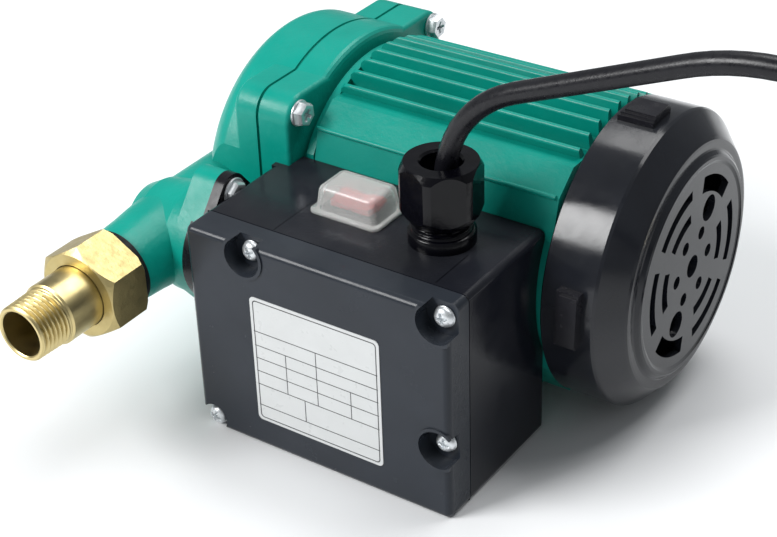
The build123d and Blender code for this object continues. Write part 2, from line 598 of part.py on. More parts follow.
def cord_tube(points, label):
    radii = corner_radii(points)
    path = FilletPolyline(*points, radius=radii)
    direction = Vector(*points[1]) - Vector(*points[0])
    section = Plane(origin=points[0], z_dir=direction) * Circle(CORD_D / 2)
    tube = sweep(section, path=path)
    expected = math.pi * (CORD_D / 2) ** 2 * path.length
    print(label, "radii", [round(r) for r in radii], "length", round(path.length),
          "volume over section x length", round(tube.volume / expected, 4))
    return tube


def cord_coil():
    ring = turned_z([(COIL_R - 11, 0), (COIL_R + 11, 0), (COIL_R + 11, 14.1), (COIL_R - 11, 14.1)], COIL_X, COIL_Y)
    return ring


def plug_frame():
    """Frame at the plug's cord end, its Z axis along the plug towards the pins."""
    end, before = Vector(*TAIL_ROUTE[-1]), Vector(*TAIL_ROUTE[-2])
    along = Vector(end.X - before.X, end.Y - before.Y, 0).normalized()
    return Plane(origin=end, x_dir=Vector(-along.Y, along.X, 0), z_dir=along)


def plug_body():
    outline = Polyline((0, 0), (5.2, 0), (6.2, 16), (15, 22), (17.8, 26), (17.8, 46), (0, 46), close=True)
    return plug_frame() * revolve(make_face(Plane.XZ * outline), Axis.Z, 360)


def plug_pins():
    return [plug_frame() * Pos(9.5 * side, 0, 46) * Cylinder(2.4, 19, align=(Align.CENTER, Align.CENTER, Align.MIN))
            for side in (-1, 1)]


# ---------------------------------------------------------------- export
save("volute_casing", volute_casing())
save("motor_bracket", motor_bracket())
save("casing_o_ring", ring_x(47.25, 48.85, -1.95, -0.02))
save("flange_bolts", *flange_bolts())
save("impeller", impeller())
save("impeller_nut", hex_x(12, -30.5, -24, 0, SHAFT_Z) - rod_x(4, -32, -23))
save("seal_rotating", ring_x(SHAFT_R, 11.5, -9.5, -0.05))
save("seal_seat", ring_x(6.6, 12, 0, 5))
save("shaft", shaft())
save("rotor_core", rotor_core())
save("bearing_inner_races", *bearing_races(SHAFT_R, 9.0))
save("bearing_outer_races", *bearing_races(13.0, BEARING_R))
save("bearing_balls", *bearing_balls())
save("stator_core", stator_core())
save("stator_windings", ring_x(27, 40, 27.5, STACK_START - 0.05), ring_x(27, 40, STACK_END + 0.05, 92.5))
save("motor_frame", motor_frame())
save("rear_shield", rear_shield())
save("fan", fan())
save("fan_cover", fan_cover())
save("cover_clips", *cover_clips())
save("union_tailpiece", union_tailpiece())
save("union_gasket", rod_y(12.2, -116.95, -115.05, PORT_X, PORT_Z) - rod_y(9.5, -118, -114, PORT_X, PORT_Z))
save("port_seal", rod_y(14.5, -105.8, -103.1, PORT_X, PORT_Z) - rod_y(THREAD_G34_R + 0.05, -107, -102, PORT_X, PORT_Z))
save("union_nut", union_nut())
save("flow_switch_body", flow_switch_body())
save("flow_switch_bolts", *flow_switch_bolts())
save("flow_flap", flow_flap())
save("flap_pin", flap_pin())
save("terminal_box_base", box_base())
save("terminal_box_cover", box_cover())
save("box_gasket", box_gasket())
save("box_cover_screws", *box_screws())
save("box_back_screws", *back_screws())
save("rating_label", block(34.2, 85.6, BOX_FRONT - 0.3, BOX_FRONT, 11.5, 61))
save("rocker_housing", rocker_housing())
save("rocker", rocker())
save("switch_boot", switch_boot())
save("gland_body", gland_body())
save("gland_locknut", gland_locknut())
save("gland_nut", gland_nut())
save("gland_seal", gland_seal())
save("run_capacitor", rod_x(11, 24, 66, -67, 40))
save("terminal_block", terminal_block())
save("power_cord", cord_tube(CORD_ROUTE, "power cord"))
save("cord_coil", cord_coil())
save("cord_tail", cord_tube(TAIL_ROUTE, "cord tail"))
save("plug_body", plug_body())
save("plug_pins", *plug_pins())
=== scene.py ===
import bpy
import json
import math
from mathutils import Matrix, Vector


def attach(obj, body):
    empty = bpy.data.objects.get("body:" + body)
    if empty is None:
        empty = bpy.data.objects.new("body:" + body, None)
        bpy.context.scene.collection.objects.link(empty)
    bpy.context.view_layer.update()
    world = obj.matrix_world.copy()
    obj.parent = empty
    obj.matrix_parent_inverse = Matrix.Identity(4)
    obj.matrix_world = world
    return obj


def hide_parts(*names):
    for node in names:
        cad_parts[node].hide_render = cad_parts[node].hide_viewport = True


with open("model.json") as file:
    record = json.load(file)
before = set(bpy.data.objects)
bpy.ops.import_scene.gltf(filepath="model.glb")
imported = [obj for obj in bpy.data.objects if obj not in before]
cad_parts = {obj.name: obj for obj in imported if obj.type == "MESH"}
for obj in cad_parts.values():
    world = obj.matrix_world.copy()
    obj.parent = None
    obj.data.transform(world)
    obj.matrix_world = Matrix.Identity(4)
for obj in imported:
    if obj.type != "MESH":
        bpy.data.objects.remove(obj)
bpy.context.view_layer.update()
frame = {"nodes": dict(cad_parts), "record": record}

MM = 0.001
SHAFT_Z = 0.055


# ---------------------------------------------------------------- camera
# A long lens from the front right and above, as the photograph was taken.
CAMERA_AT = Vector((0.35771, -0.47887, 0.37870))
CAMERA_RIGHT = Vector((0.82704, 0.56134, -0.02997))
CAMERA_DOWN = Vector((0.27615, -0.45214, -0.84812))
CAMERA_LENS = 83.4


def add_camera():
    data = bpy.data.cameras.new("photo_camera")
    data.lens = CAMERA_LENS
    data.sensor_width = 36.0
    data.clip_start = 0.01
    camera = bpy.data.objects.new("photo_camera", data)
    bpy.context.scene.collection.objects.link(camera)
    right = CAMERA_RIGHT.normalized()
    up = -(CAMERA_DOWN - CAMERA_DOWN.dot(right) * right).normalized()
    turn = Matrix((right, up, right.cross(up))).transposed()
    camera.matrix_world = Matrix.Translation(CAMERA_AT) @ turn.to_4x4()
    bpy.context.scene.camera = camera


add_camera()


# ---------------------------------------------------------------- materials
def new_material(name):
    material = bpy.data.materials.new(name)
    material.use_nodes = True
    return material, material.node_tree, material.node_tree.nodes["Principled BSDF"]


def add_node(tree, kind, **inputs):
    node = tree.nodes.new(kind)
    for key, value in inputs.items():
        node.inputs[key.replace("_", " ")].default_value = value
    return node


def noise(tree, scale, detail=3.0, stretch=(1, 1, 1)):
    """Noise in the part's own metres; stretch squeezes it along an axis."""
    where = tree.nodes.new("ShaderNodeTexCoord")
    mapping = tree.nodes.new("ShaderNodeMapping")
    mapping.inputs["Scale"].default_value = stretch
    texture = add_node(tree, "ShaderNodeTexNoise", Scale=scale, Detail=detail)
    tree.links.new(where.outputs["Object"], mapping.inputs["Vector"])
    tree.links.new(mapping.outputs["Vector"], texture.inputs["Vector"])
    return texture.outputs["Fac"]


def remap(tree, value, low, high, to_low, to_high):
    node = tree.nodes.new("ShaderNodeMapRange")
    for key, number in (("From Min", low), ("From Max", high), ("To Min", to_low), ("To Max", to_high)):
        node.inputs[key].default_value = number
    tree.links.new(value, node.inputs["Value"])
    return node.outputs["Result"]


def mix_colour(tree, factor, first, second):
    node = tree.nodes.new("ShaderNodeMix")
    node.data_type = "RGBA"
    tree.links.new(factor, node.inputs["Factor"])
    for socket, colour in (("A", first), ("B", second)):
        target = [s for s in node.inputs if s.name == socket and s.type == "RGBA"][0]
        if isinstance(colour, tuple):
            target.default_value = (*colour, 1)
        else:
            tree.links.new(colour, target)
    return [s for s in node.outputs if s.type == "RGBA"][0]


def multiply(tree, first, second):
    node = tree.nodes.new("ShaderNodeMath")
    node.operation = "MULTIPLY"
    node.use_clamp = True
    for index, value in enumerate((first, second)):
        if isinstance(value, (int, float)):
            node.inputs[index].default_value = value
        else:
            tree.links.new(value, node.inputs[index])
    return node.outputs[0]


def bump(tree, shader, layers):
    """Stacks bump layers of (height, distance in metres) under the shader's normal."""
    normal = None
    for height, distance in layers:
        node = add_node(tree, "ShaderNodeBump", Strength=1.0, Distance=distance)
        tree.links.new(height, node.inputs["Height"])
        if normal is not None:
            tree.links.new(normal, node.inputs["Normal"])
        normal = node.outputs["Normal"]
    tree.links.new(normal, shader.inputs["Normal"])


def surface(name, colour, rough, shade=0.75, mottle=60, grain=900, grain_depth=0.00003, fine=0.0,
            metallic=0.0, coat=0.0, dust=0.0, dust_colour=(0.55, 0.56, 0.55), stretch=(1, 1, 1),
            specular=0.5):
    """A finish with uneven colour, uneven gloss, a grained surface and dust lying on upward faces."""
    material, tree, shader = new_material(name)
    patches = noise(tree, mottle, 4.0)
    darker = tuple(channel * shade for channel in colour)
    base = mix_colour(tree, remap(tree, patches, 0.35, 0.65, 0, 1), colour, darker)
    gloss = remap(tree, noise(tree, mottle * 3.1, 5.0), 0.3, 0.7, rough[0], rough[1])
    if dust > 0:
        geometry = tree.nodes.new("ShaderNodeNewGeometry")
        split = tree.nodes.new("ShaderNodeSeparateXYZ")
        tree.links.new(geometry.outputs["Normal"], split.inputs["Vector"])
        upward = remap(tree, split.outputs["Z"], 0.1, 0.95, 0, 1)
        lying = multiply(tree, upward, remap(tree, noise(tree, 45, 6.0), 0.35, 0.7, 0.25, 1.0))
        lying = multiply(tree, lying, dust)
        base = mix_colour(tree, lying, base, dust_colour)
    tree.links.new(base, shader.inputs["Base Color"])
    tree.links.new(gloss, shader.inputs["Roughness"])
    shader.inputs["Metallic"].default_value = metallic
    shader.inputs["Coat Weight"].default_value = coat
    shader.inputs["Coat Roughness"].default_value = 0.12
    shader.inputs["Specular IOR Level"].default_value = specular
    layers = [(noise(tree, grain, 3.0, stretch), grain_depth)]
    if fine > 0:
        layers.append((noise(tree, grain * 3.3, 2.0, stretch), fine))
    bump(tree, shader, layers)
    return material


def clear_silicone(name):
    material, tree, shader = new_material(name)
    cloud = remap(tree, noise(tree, 130, 4.0), 0.3, 0.7, 0.12, 0.22)
    tint = mix_colour(tree, noise(tree, 90, 3.0), (0.97, 0.97, 0.95), (0.90, 0.90, 0.88))
    tree.links.new(tint, shader.inputs["Base Color"])
    tree.links.new(cloud, shader.inputs["Roughness"])
    shader.inputs["Transmission Weight"].default_value = 0.74
    shader.inputs["IOR"].default_value = 1.36
    bump(tree, shader, [(noise(tree, 320, 3.0), 0.00002)])
    return material


MATERIALS = {
    "green_paint": surface("green_enamel_cast", (0.001, 0.300, 0.235), (0.32, 0.48), 0.88, 40, 420, 0.00016,
                           0.00002, coat=0.05, specular=0.28),
    "green_frame": surface("green_enamel_frame", (0.001, 0.262, 0.206), (0.30, 0.46), 0.88, 40, 520, 0.00010,
                           0.00002, coat=0.04, specular=0.28),
    "brass": surface("cast_nut_brass", (0.528, 0.4312, 0.198), (0.36, 0.52), 0.88, 110, 900, 0.00009, 0.00002,
                     metallic=1.0),
    "zinc_steel": surface("zinc_plate", (0.78, 0.81, 0.83), (0.26, 0.44), 0.85, 240, 1600, 0.00002,
                          metallic=0.75),
    "shaft_steel": surface("ground_steel", (0.60, 0.61, 0.63), (0.14, 0.26), 0.9, 120, 2200, 0.00001,
                           metallic=1.0, stretch=(0.2, 1, 1)),
    "core_steel": surface("laminated_steel", (0.30, 0.31, 0.32), (0.35, 0.55), 0.8, 120, 1800, 0.00004,
                          metallic=0.9, stretch=(6, 1, 1)),
    "copper": surface("enamelled_copper", (0.62, 0.26, 0.12), (0.22, 0.40), 0.75, 160, 1500, 0.00020,
                      metallic=0.8, stretch=(3, 1, 1)),
    "bearing_steel": surface("bearing_steel", (0.72, 0.73, 0.75), (0.08, 0.18), 0.95, 120, 2400, 0.00001,
                             metallic=1.0),
    "impeller_brass": surface("cast_brass", (0.66, 0.47, 0.20), (0.28, 0.48), 0.8, 90, 700, 0.00010,
                              metallic=1.0),
    "seal_carbon": surface("carbon", (0.05, 0.05, 0.055), (0.3, 0.5), 0.8, 120, 1500, 0.00002),
    "seal_ceramic": surface("ceramic", (0.78, 0.77, 0.72), (0.15, 0.3), 0.92, 120, 1500, 0.00001),
    "seal_rubber": surface("black_rubber", (0.010, 0.011, 0.013), (0.45, 0.7), 0.7, 120, 1100, 0.00004,
                           specular=0.2),
    "cover_black": surface("black_gloss_cover", (0.0112, 0.0126, 0.0175), (0.10, 0.22), 0.8, 60, 700, 0.00002,
                           0.00001, coat=0.20, dust=0.015, specular=0.3),
    "clip_black": surface("black_satin_clip", (0.012, 0.012, 0.016), (0.16, 0.30), 0.8, 80, 900, 0.00003,
                          specular=0.3),
    "fan_plastic": surface("fan_plastic", (0.04, 0.04, 0.04), (0.35, 0.55), 0.8, 80, 900, 0.00004,
                           specular=0.3),
    "switch_black": surface("switch_plastic", (0.010, 0.010, 0.013), (0.20, 0.35), 0.8, 90, 900, 0.00003,
                            specular=0.25),
    # Painted shade: the box base takes a darker copy of the lid's black plastic, so its side and top read as
    # lying in shade.
    "box_black": surface("box_plastic_painted_shade", (0.009, 0.010, 0.015), (0.12, 0.24), 0.85, 40, 800, 0.00002, 0.00001,
                         dust=0.02, specular=0.22),
    "lid_black": surface("lid_plastic", (0.024, 0.029, 0.038), (0.16, 0.28), 0.85, 40, 800, 0.00002, 0.00001,
                         dust=0.02, specular=0.22),
    "gland_black": surface("gland_plastic", (0.00135, 0.00135, 0.00315), (0.12, 0.24), 0.8, 90, 1100, 0.00003,
                           specular=0.25),
    "label_white": surface("coated_label", (0.602, 0.616, 0.616), (0.25, 0.4), 0.97, 90, 900, 0.00001),
    "rocker_red": surface("red_rocker", (0.75, 0.02, 0.03), (0.15, 0.3), 0.85, 90, 900, 0.00002),
    "boot_clear": clear_silicone("clear_silicone"),
    "capacitor_grey": surface("grey_capacitor", (0.50, 0.51, 0.52), (0.3, 0.5), 0.9, 90, 900, 0.00003),
    "terminal_cream": surface("cream_terminal", (0.70, 0.66, 0.54), (0.3, 0.5), 0.9, 90, 900, 0.00003),
    "cord_black": surface("cord_sheath", (0.007, 0.007, 0.010), (0.22, 0.38), 0.8, 150, 1300, 0.00004,
                          dust=0.02, specular=0.3),
    "plug_black": surface("plug_plastic", (0.010, 0.010, 0.012), (0.3, 0.5), 0.8, 90, 1100, 0.00006,
                          specular=0.3),
    "pin_brass": surface("plated_pin", (0.78, 0.72, 0.58), (0.15, 0.3), 0.9, 120, 1800, 0.00001,
                         metallic=1.0),
}


def paint_cad_nodes():
    """Gives every CAD node the detailed material of its slot."""
    for part in frame["record"]["subparts"]:
        node = frame["nodes"][part["node"]]
        node.data.materials.clear()
        node.data.materials.append(MATERIALS[part["material_slot"]])


paint_cad_nodes()


# ---------------------------------------------------------------- mesh helpers
def add_piece(name, points, faces, slot, body, smooth=True):
    """A closed mesh of a new piece that rides on a body and takes a slot's finish."""
    mesh = bpy.data.meshes.new(name)
    mesh.from_pydata([tuple(p) for p in points], [], faces)
    mesh.validate()
    mesh.update()
    if smooth:
        mesh.shade_smooth()
    mesh.materials.append(MATERIALS[slot])
    piece = bpy.data.objects.new(name, mesh)
    bpy.context.scene.collection.objects.link(piece)
    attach(piece, body)
    return piece


def sharpen(piece, degrees=35):
    """Keeps edges sharper than this angle crisp under smooth shading."""
    piece.data.set_sharp_from_angle(angle=math.radians(degrees))
    return piece


def pose_along(origin, direction, sideways=(0, 0, 1)):
    """Matrix that stands local Z along a direction at an origin."""
    z = Vector(direction).normalized()
    x = Vector(sideways).cross(z)
    if x.length < 1e-6:
        x = Vector((1, 0, 0)).cross(z)
    x.normalize()
    return Matrix.Translation(Vector(origin)) @ Matrix((x, z.cross(x), z)).transposed().to_4x4()


def lathe(outline, segments, matrix, radius_at=None):
    """Points and faces of a closed outline of (radius, height) turned about local Z."""
    points, faces = [], []
    rows = len(outline)
    for row, (radius, height) in enumerate(outline):
        for step in range(segments):
            angle = 2 * math.pi * step / segments
            r = radius_at(radius, height, angle) if radius_at else radius
            points.append(matrix @ Vector((r * math.cos(angle), r * math.sin(angle), height)))
    for row in range(rows):
        after = (row + 1) % rows
        for step in range(segments):
            turn = (step + 1) % segments
            faces.append((row * segments + step, row * segments + turn, after * segments + turn,
                          after * segments + step))
    return points, faces


def divided(outline, start, end, step):
    """The outline with the run from height start to height end cut into short steps."""
    result = []
    for here, after in zip(outline, outline[1:] + outline[:1]):
        result.append(here)
        if {round(here[1], 6), round(after[1], 6)} == {round(start, 6), round(end, 6)}:
            count = max(2, int(abs(end - start) / step))
            for index in range(1, count):
                part = index / count
                result.append(tuple(a + (b - a) * part for a, b in zip(here, after)))
    return result


def thread_radius(start, end, pitch, depth):
    """Radius of a right-hand V thread between two heights, fading out at its ends."""
    def radius_at(radius, height, angle):
        if not start <= height <= end:
            return radius
        phase = (height / pitch - angle / (2 * math.pi)) % 1.0
        groove = min(1.0, max(0.0, 1.25 * (1 - abs(2 * phase - 1)) - 0.08))
        fade = min(1.0, (height - start) / pitch, (end - height) / (0.4 * pitch))
        return radius - depth * groove * max(0.0, fade)
    return radius_at


# ---------------------------------------------------------------- supply cord
CORD_D = 0.007
CORD_BENDS = [(86, 87), (86, 111), (100.5, 134), (125.5, 144.2), (152.5, 155.2), (181, 166.8), (212, 167),
              (236, 148), (243, 112), (247, 76), (254, 47), (271, 23), (296, 8.5), (322, 3.5)]
CORD_Y = -63.6
CORD_ROUTE = [(x, CORD_Y, z) for x, z in CORD_BENDS]
TAIL_ROUTE = [(322, 26.9, 10.6), (303, 27.6, 13), (284, 30.9, 18), (267, 41.9, 18)]
COIL_CENTRE = Vector((322, CORD_Y + 47, 0))
COIL_INNER, COIL_OUTER, COIL_END = 33.0, 47.0, 43.5
LOWER_TURNS, UPPER_TURNS = 2.0, 1.5
LOWER_HEIGHT, UPPER_HEIGHT = 3.6, 10.6
POINTS_PER_TURN = 16
CLIMB_TURNS = 0.3
TIE_ANGLE = 45.0
TIE_WIDTH, TIE_THICKNESS = 6.0, 0.7
TIE_STEPS = 48
SPLINE_INSET = 0.981     # radius of the spline as a share of its points' radius
TIE_GAP = 0.05           # between the tie and the cord
TIE_FLOOR_GAP = 0.02     # between the tie and the floor


def coil_place(turns):
    """Radius and height of the cord after so many turns of the coil."""
    climb = min(1.0, max(0.0, (turns - LOWER_TURNS) / CLIMB_TURNS))
    height = LOWER_HEIGHT + (UPPER_HEIGHT - LOWER_HEIGHT) * climb * climb * (3 - 2 * climb)
    if turns <= LOWER_TURNS:
        return COIL_OUTER + (COIL_INNER - COIL_OUTER) * turns / LOWER_TURNS, height
    part = max(0.0, (turns - LOWER_TURNS - CLIMB_TURNS) / (UPPER_TURNS - CLIMB_TURNS))
    return COIL_INNER + (COIL_END - COIL_INNER) * part, height


def coil_points():
    """Neat turns on the floor, wound inwards below, then outwards on top after a short climb."""
    points = []
    for index in range(1, round(POINTS_PER_TURN * (LOWER_TURNS + UPPER_TURNS))):
        turns = index / POINTS_PER_TURN
        radius, height = coil_place(turns)
        angle = math.radians(360 * turns - 90)
        points.append(COIL_CENTRE + Vector((radius * math.cos(angle), radius * math.sin(angle), height)))
    return points


def add_cord():
    route = [Vector(p) for p in CORD_ROUTE] + coil_points() + [Vector(p) for p in TAIL_ROUTE]
    curve = bpy.data.curves.new("supply_cord", "CURVE")
    curve.dimensions = "3D"
    spline = curve.splines.new("NURBS")
    spline.points.add(len(route) - 1)
    for point, place in zip(spline.points, route):
        point.co = (*(place * MM), 1)
    spline.order_u = 3
    spline.use_endpoint_u = True
    spline.resolution_u = 6
    curve.bevel_depth = CORD_D / 2
    curve.bevel_resolution = 5
    curve.use_fill_caps = True
    curve.materials.append(MATERIALS["cord_black"])
    cord = bpy.data.objects.new("supply_cord", curve)
    bpy.context.scene.collection.objects.link(cord)
    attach(cord, "pump")
    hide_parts("power_cord", "cord_coil", "cord_tail")
    return cord


cord = add_cord()


def tie_outline(thickness):
    """Band drawn tight round the turns of the coil at one place, as radius and height, flat on the floor."""
    first = (TIE_ANGLE + 90) / 360
    sections = []
    for turn in range(4):
        radius, height = coil_place(first + turn)
        sections.append(Vector((radius * SPLINE_INSET, height)))
    reach = CORD_D / MM / 2 + thickness
    outline = []
    for step in range(TIE_STEPS):
        angle = math.radians(360 * step / TIE_STEPS)
        outwards = Vector((math.cos(angle), math.sin(angle)))
        furthest = max(sections, key=lambda section: section.dot(outwards))
        place = furthest + outwards * reach
        outline.append((place.x, max(place.y, TIE_FLOOR_GAP)))
    return outline


def add_coil_tie():
    """Rubber band that holds the put-away turns together."""
    angle = math.radians(TIE_ANGLE)
    outwards = Vector((math.cos(angle), math.sin(angle), 0))
    along = Vector((-math.sin(angle), math.cos(angle), 0))
    points = []
    for thickness, side in ((TIE_THICKNESS, -1), (TIE_THICKNESS, 1), (TIE_GAP, 1), (TIE_GAP, -1)):
        for radius, height in tie_outline(thickness):
            place = COIL_CENTRE + outwards * radius + along * side * TIE_WIDTH / 2 + Vector((0, 0, height))
            points.append(place * MM)
    faces = []
    for ring in range(4):
        for step in range(TIE_STEPS):
            after = (step + 1) % TIE_STEPS
            here, there = ring * TIE_STEPS, (ring + 1) % 4 * TIE_STEPS
            faces.append((here + step, here + after, there + after, there + step))
    sharpen(add_piece("coil_tie", points, faces, "seal_rubber", "pump"), 50)


add_coil_tie()


# ---------------------------------------------------------------- brass union
PORT_X, PORT_Z = -0.0212, 0.055
TAIL_START, TAIL_END = -0.117, -0.1507
THREAD_R12_R, THREAD_R12_PITCH, THREAD_R12_DEPTH = 0.01048, 0.001814, 0.00116


def add_tailpiece():
    """Turned tailpiece with a tapered right-hand pipe thread."""
    length = TAIL_START - TAIL_END
    root = length - 0.0133
    outline = [(0.0082, 0), (0.0122, 0), (0.0122, 0.0024), (0.0112, 0.0024), (0.0112, root - 0.0006),
               (THREAD_R12_R, root), (THREAD_R12_R, length - 0.0007), (0.0098, length - 0.0004),
               (0.0095, length),
               (0.0086, length), (0.0082, length - 0.0004)]
    outline = divided(outline, root, length - 0.0007, 0.00011)
    cut = thread_radius(root + 0.0003, length - 0.0007, THREAD_R12_PITCH, THREAD_R12_DEPTH)

    def radius_at(radius, height, angle):
        if radius < THREAD_R12_R or height < root:
            return radius
        taper = (height - root) / 32
        return cut(radius, height, angle) - taper
    matrix = pose_along((PORT_X, TAIL_START, PORT_Z), (0, -1, 0))
    points, faces = lathe(outline, 144, matrix, radius_at)
    piece = sharpen(add_piece("tailpiece", points, faces, "brass", "pump"), 30)
    piece.data.materials.clear()
    turned_brass = surface("turned_brass", (0.63, 0.52, 0.255), (0.28, 0.42), 0.9, 70, 1500, 0.00003,
                           metallic=1.0, stretch=(0.12, 2.4, 0.12))
    piece.data.materials.append(turned_brass)
    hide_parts("union_tailpiece")


# ---------------------------------------------------------------- screws and bolts
def cross_recess(x, y, size):
    """Depth share, 0 to 1, of a cross recess at a point of a screw head."""
    arm, width = 0.62 * size, 0.15 * size
    u, v = abs(x), abs(y)
    inside = min(1.0, max(0.0, (width - min(u, v)) / (0.05 * size)))
    reach = min(1.0, max(0.0, (arm - max(u, v)) / (0.16 * size)))
    return inside * reach


def head_points(rim, matrix, turn, top, recess, rows=22, segments=72):
    """A head from its centre out to a rim; rim(angle) gives the radius and top(share) the height."""
    points, faces = [matrix @ Vector((0, 0, top(0) - recess))], []
    for row in range(1, rows + 1):
        share = row / rows
        for step in range(segments):
            angle = 2 * math.pi * step / segments
            radius = rim(angle) * share
            x, y = radius * math.cos(angle), radius * math.sin(angle)
            local_x = x * math.cos(turn) + y * math.sin(turn)
            local_y = y * math.cos(turn) - x * math.sin(turn)
            height = top(share) - recess * cross_recess(local_x, local_y, rim(0) * 0.95)
            points.append(matrix @ Vector((x, y, height)))
    for step in range(segments):
        faces.append((0, 1 + step, 1 + (step + 1) % segments))
    for row in range(rows - 1):
        low, high = 1 + row * segments, 1 + (row + 1) * segments
        for step in range(segments):
            after = (step + 1) % segments
            faces.append((low + step, high + step, high + after, low + after))
    last = 1 + (rows - 1) * segments
    base = len(points)
    for step in range(segments):
        angle = 2 * math.pi * step / segments
        radius = rim(angle)
        points.append(matrix @ Vector((radius * math.cos(angle), radius * math.sin(angle), 0)))
    for step in range(segments):
        after = (step + 1) % segments
        faces.append((last + step, base + step, base + after, last + after))
    faces.append(tuple(reversed(range(base, base + segments))))
    return points, faces


def merged(groups):
    points, faces = [], []
    for some_points, some_faces in groups:
        shift = len(points)
        points += some_points
        faces += [tuple(index + shift for index in face) for face in some_faces]
    return points, faces


def pan_top(height):
    return lambda share: height * (1 - share ** 3.2) ** 0.55


def hex_rim(across_flats):
    def rim(angle):
        part = (angle + math.pi / 6) % (math.pi / 3) - math.pi / 6
        return across_flats / 2 / math.cos(part)
    return rim


def washer(matrix, hole, radius, start, thickness):
    soft = thickness * 0.3
    outline = [(hole, start), (radius - soft, start), (radius, start + soft),
               (radius, start + thickness - soft),
               (radius - soft, start + thickness), (hole, start + thickness)]
    return lathe(outline, 48, matrix)


LID_SCREWS = [(0.0324, -0.0943, 0.075), (0.1068, -0.0943, 0.075), (0.1068, -0.0943, 0.0272),
              (0.0140, -0.0973, 0.0039)]


def add_lid_screws():
    groups = []
    for index, place in enumerate(LID_SCREWS):
        matrix = pose_along(place, (0, -1, 0))
        groups.append(washer(matrix, 0.0015, 0.0037, 0.00002, 0.0006))
        matrix = matrix @ Matrix.Translation((0, 0, 0.0007))
        groups.append(head_points(lambda angle: 0.0035, matrix, 0.5 + 1.3 * index, pan_top(0.0021), 0.0013))
    piece = sharpen(add_piece("lid_screws", *merged(groups), "zinc_steel", "pump"), 50)
    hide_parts("box_cover_screws")


def add_hex_bolts(name, node, places, across_flats, washer_radius, start, height):
    """Hexagon bolts with a cross recess, each on its washer, all pointing along +X."""
    groups = []
    for index, (y, z) in enumerate(places):
        matrix = pose_along((start, y, z), (1, 0, 0))
        groups.append(washer(matrix, 0.0025, washer_radius, 0.00002, 0.0008))
        matrix = matrix @ Matrix.Rotation(0.35 + 0.8 * index, 4, "Z") @ Matrix.Translation((0, 0, 0.00085))
        edge = 0.84

        def top(share):
            if share < edge:
                return height - 0.0005 * (share < 0.6) * (1 - share / 0.6)
            return height * (1 - 0.42 * ((share - edge) / (1 - edge)) ** 1.6)
        groups.append(head_points(hex_rim(across_flats), matrix, 0.4 + index, top, height * 0.5))
    piece = sharpen(add_piece(name, *merged(groups), "zinc_steel", "pump"), 32)
    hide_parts(node)


FLANGE_BOLT_OFFSET = 0.042
FLANGE_FACE_X = 0.0135
SWITCH_Y, SWITCH_Z = -0.0705, 0.055


def add_bolts():
    corners = [(FLANGE_BOLT_OFFSET * sy, SHAFT_Z + FLANGE_BOLT_OFFSET * sz)
               for sy in (-1, 1) for sz in (-1, 1)]
    add_hex_bolts("flange_bolt_heads", "flange_bolts", corners, 0.0079, 0.0048, FLANGE_FACE_X, 0.0032)
    lugs = [(SWITCH_Y, SWITCH_Z + 0.022 * side) for side in (-1, 1)]
    add_hex_bolts("switch_bolt_heads", "flow_switch_bolts", lugs, 0.0078, 0.0054, 0.0055, 0.0021)


# ---------------------------------------------------------------- rating label
LABEL_CENTRE = Vector((0.0599, -0.1003, 0.0364))
LABEL_WIDTH, LABEL_HEIGHT = 0.0514, 0.0495
LABEL_ROWS = [13.3, 18.9, 23.9, 29.2, 34.6, 43.2]      # mm below the top edge


def label_matrix(lift):
    return Matrix.Translation(LABEL_CENTRE + Vector((0, -lift, 0))) @ Matrix.Rotation(math.pi / 2, 4, "X")


def rounded_rectangle(half_x, half_y, radius, steps=8):
    points = []
    for corner, (sx, sy) in enumerate(((1, 1), (-1, 1), (-1, -1), (1, -1))):
        for step in range(steps + 1):
            angle = math.pi / 2 * (corner + step / steps)
            points.append((sx * (half_x - radius) + radius * math.cos(angle),
                           sy * (half_y - radius) + radius * math.sin(angle)))
    return points


def plate(outline, matrix, thickness):
    count = len(outline)
    points = [matrix @ Vector((x, y, 0)) for x, y in outline]
    points += [matrix @ Vector((x, y, thickness)) for x, y in outline]
    faces = [tuple(reversed(range(count))), tuple(range(count, 2 * count))]
    faces += [(i, (i + 1) % count, count + (i + 1) % count, count + i) for i in range(count)]
    return points, faces


def frame_plate(outer, inner, matrix, thickness):
    """A flat frame between two outlines with the same number of points."""
    count = len(outer)
    points = [matrix @ Vector((x, y, z)) for z in (0, thickness) for ring in (outer, inner) for x, y in ring]
    faces = []
    for i in range(count):
        j = (i + 1) % count
        faces.append((i, count + i, count + j, j))
        faces.append((2 * count + i, 2 * count + j, 3 * count + j, 3 * count + i))
        faces.append((i, j, 2 * count + j, 2 * count + i))
        faces.append((count + i, 3 * count + i, 3 * count + j, count + j))
    return points, faces


